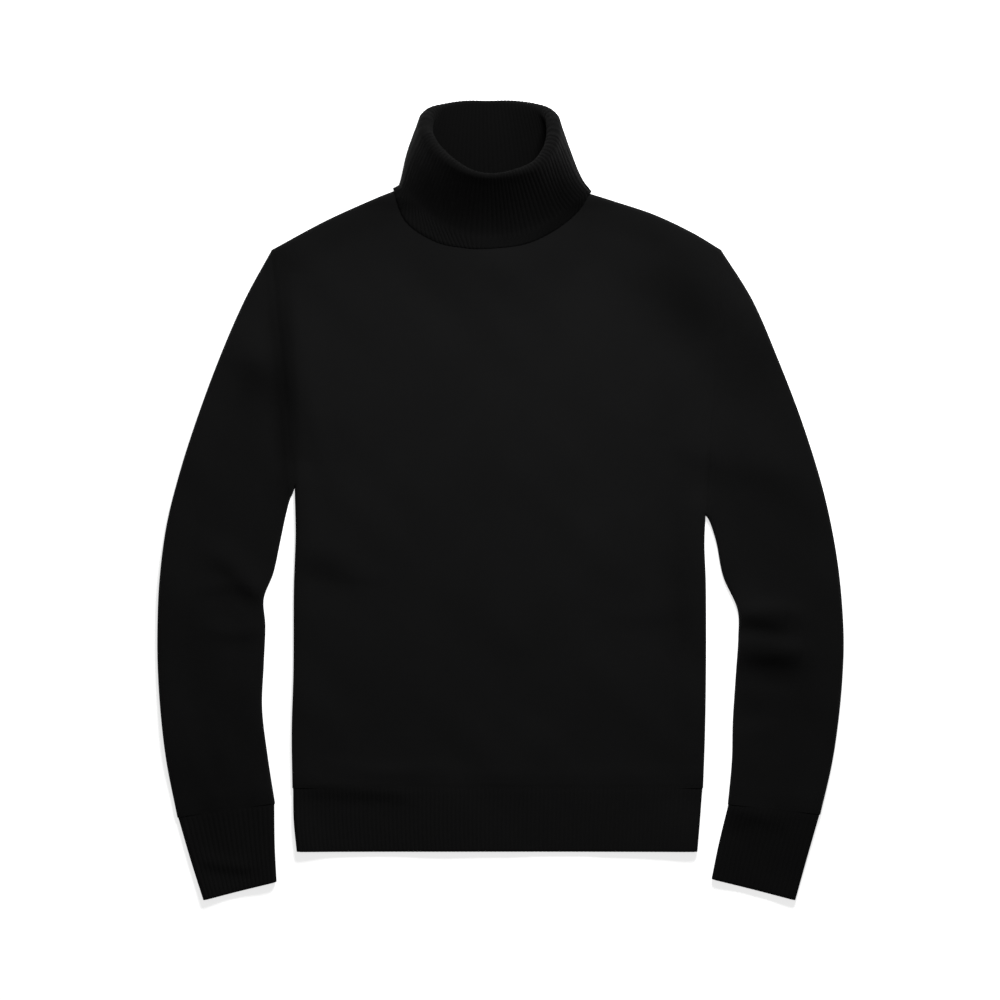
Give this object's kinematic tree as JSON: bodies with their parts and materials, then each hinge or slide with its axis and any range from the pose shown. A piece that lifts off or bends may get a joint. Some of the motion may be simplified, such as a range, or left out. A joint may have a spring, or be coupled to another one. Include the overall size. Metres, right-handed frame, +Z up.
{
  "type": "turtleneck sweater",
  "caption": "Plain black fine-knit turtleneck sweater laid out flat on its back, with long sleeves, rib cuffs and hem, and a folded-over rib collar.",
  "frame": {"origin": "on the surface the sweater lies on, below the middle of its outline", "axes": "+Y from the hem towards the neck, +Z up out of the front, +X towards the wearer's left sleeve"},
  "size_m": [0.6845, 0.798, 0.0556],
  "materials": {
    "knit": "matt black plain knit",
    "rib": "matt black fine rib"
  },
  "bodies": {
    "root": {"front": "knit", "back": "knit", "sleeve_left": "knit", "sleeve_right": "knit", "cuff_left": "rib", "cuff_right": "rib", "hem_rib": "rib", "collar": "rib"}
  },
  "joints": []
}
